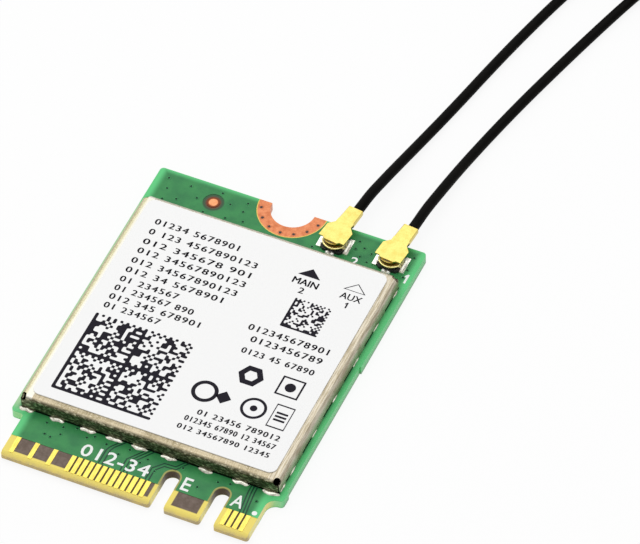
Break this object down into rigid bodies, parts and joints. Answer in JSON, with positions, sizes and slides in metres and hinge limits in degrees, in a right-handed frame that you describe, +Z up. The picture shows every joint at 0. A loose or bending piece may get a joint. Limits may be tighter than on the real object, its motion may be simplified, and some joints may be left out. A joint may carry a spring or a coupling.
{
  "type": "wireless network card",
  "caption": "Small wireless network card with a keyed edge connector, metal shield can, printed label, screw notch and coiled push-on antenna leads.",
  "frame": {"origin": "middle of the board's outline, on its underside", "axes": "+X towards the first contact, +Y from the edge contacts to the screw notch, +Z up through the shield"},
  "size_m": [0.0427, 0.0718, 0.0022],
  "materials": {
    "green_board": "solder mask on glass-fibre laminate, satin gloss",
    "gold_plating": "bright gold plating",
    "bare_copper": "matte plated copper",
    "shield_sheet": "dull tinned sheet",
    "solder": "bright solder",
    "label_paper": "matte white paper with dark print",
    "black_package": "moulded black",
    "crystal_can": "plain metal lid",
    "ferrite": "sintered grey",
    "pale_ceramic": "fired ceramic",
    "brown_ceramic": "fired ceramic",
    "dark_ceramic": "fired ceramic",
    "black_moulding": "moulded black",
    "silver_plating": "bright plating",
    "pale_gold_plating": "pale gold plating",
    "white_moulding": "moulded white",
    "black_jacket": "smooth black jacket",
    "tie_band": "thin black band"
  },
  "bodies": {
    "card": {"circuit_board": "green_board", "top_contacts": "gold_plating", "bottom_contacts": "gold_plating", "screw_land_top": "bare_copper", "screw_land_bottom": "bare_copper", "fiducial_dot": "bare_copper", "shield_can": "shield_sheet", "shield_solder_joints": "solder", "label": "label_paper", "wireless_chip": "black_package", "main_front_end_module": "black_package", "aux_front_end_module": "black_package", "power_regulator": "black_package", "crystal": "crystal_can", "power_inductors": "ferrite", "diplexers": "pale_ceramic", "capacitors": "brown_ceramic", "resistors": "dark_ceramic", "main_receptacle_base": "black_moulding", "main_receptacle_shell": "silver_plating", "main_receptacle_pin": "gold_plating", "aux_receptacle_base": "black_moulding", "aux_receptacle_shell": "silver_plating", "aux_receptacle_pin": "gold_plating"},
    "main_antenna_lead": {"main_plug_shell": "pale_gold_plating", "main_plug_insulator": "white_moulding", "main_plug_contact": "gold_plating", "main_lead": "black_jacket", "main_coil": "black_jacket", "main_coil_tie": "tie_band", "main_lead_end": "black_jacket", "main_end_plug_shell": "pale_gold_plating", "main_end_plug_insulator": "white_moulding", "main_end_plug_contact": "gold_plating"},
    "aux_antenna_lead": {"aux_plug_shell": "pale_gold_plating", "aux_plug_insulator": "white_moulding", "aux_plug_contact": "gold_plating", "aux_lead": "black_jacket", "aux_coil": "black_jacket", "aux_coil_tie": "tie_band", "aux_lead_end": "black_jacket", "aux_end_plug_shell": "pale_gold_plating", "aux_end_plug_insulator": "white_moulding", "aux_end_plug_contact": "gold_plating"}
  },
  "joints": [
    {"name": "main_plug_swivel", "type": "hinge", "parent": "card", "child": "main_antenna_lead", "pos_m": [0.0043, 0.01315, 0.0008], "axis": [0, 0, 1], "range_deg": [0, 60]},
    {"name": "aux_plug_swivel", "type": "hinge", "parent": "card", "child": "aux_antenna_lead", "pos_m": [0.0089, 0.01315, 0.0008], "axis": [0, 0, 1], "range_deg": [-90, 0]}
  ]
}
